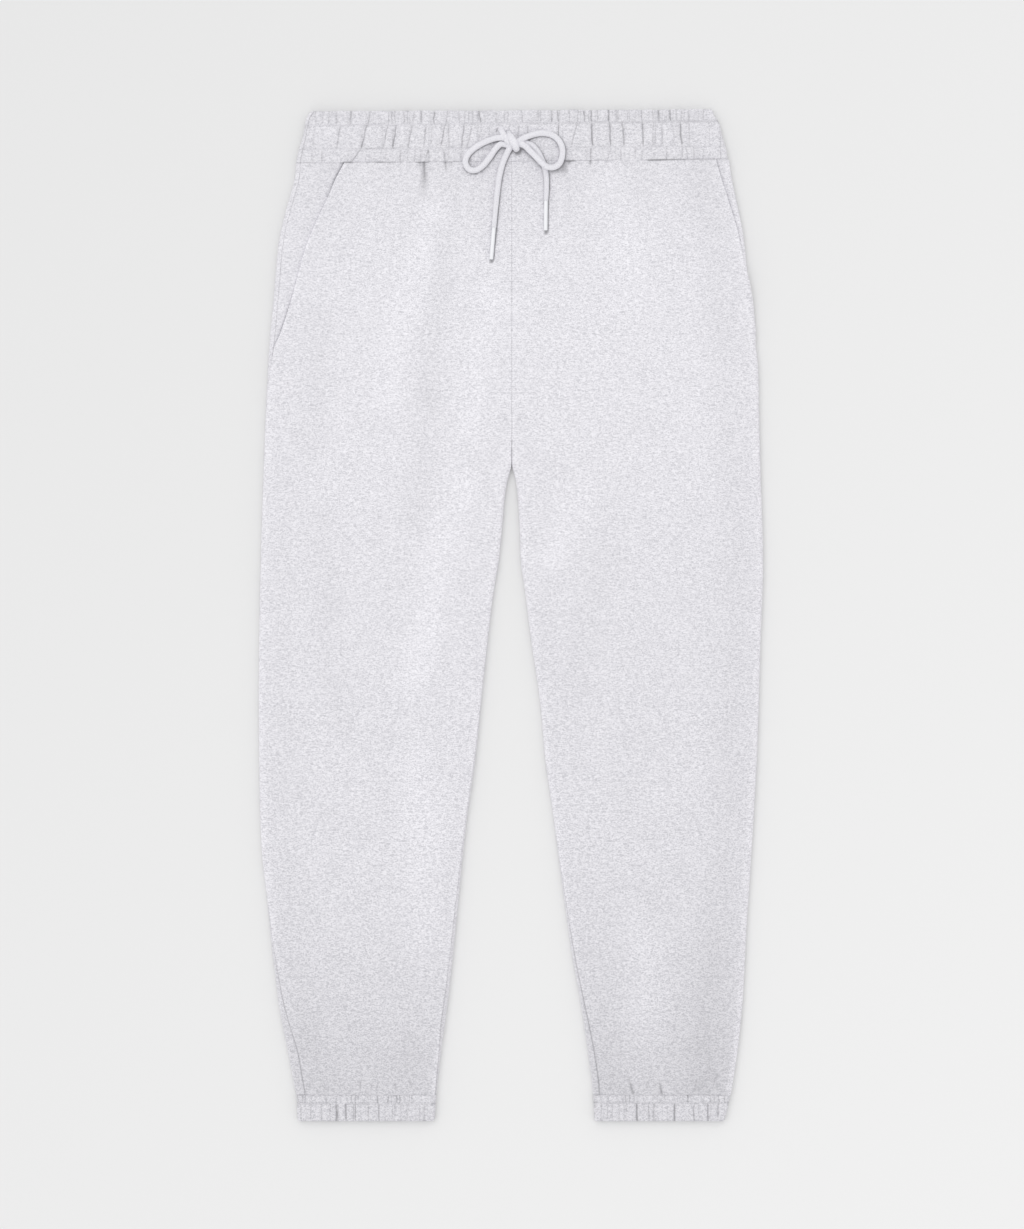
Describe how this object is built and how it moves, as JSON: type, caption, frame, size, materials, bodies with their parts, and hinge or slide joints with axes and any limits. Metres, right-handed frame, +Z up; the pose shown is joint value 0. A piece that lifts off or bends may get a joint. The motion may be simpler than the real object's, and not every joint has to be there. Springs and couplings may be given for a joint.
{
  "type": "jogger sweatpants",
  "caption": "Heather grey fleece jogger sweatpants lying flat, with slant pockets, a gathered elastic waistband, elastic cuffs and a bow-tied drawstring with dipped tips.",
  "frame": {"origin": "centre of the garment's outline on the surface that it lies on", "axes": "+Y runs from the cuffs to the waistband, +Z up from the surface through the back and then the front, +X towards the wearer's left leg"},
  "size_m": [0.5047, 1.0119, 0.0247],
  "materials": {
    "fleece": "light heather grey brushed fleece, fine melange speckle, matt",
    "band": "light heather grey fleece doubled over elastic, gathered, matt",
    "cord": "light grey soft tubular cotton cord, matt",
    "tip": "pale grey smooth dipped cord tip, satin"
  },
  "bodies": {
    "root": {"front_right": "fleece", "front_left": "fleece", "back_right": "fleece", "back_left": "fleece", "pocket_facing_right": "fleece", "pocket_facing_left": "fleece", "waistband_front": "band", "waistband_back": "band", "cuff_right": "band", "cuff_left": "band", "drawstring": "cord", "cord_tip_right": "tip", "cord_tip_left": "tip"}
  },
  "joints": []
}
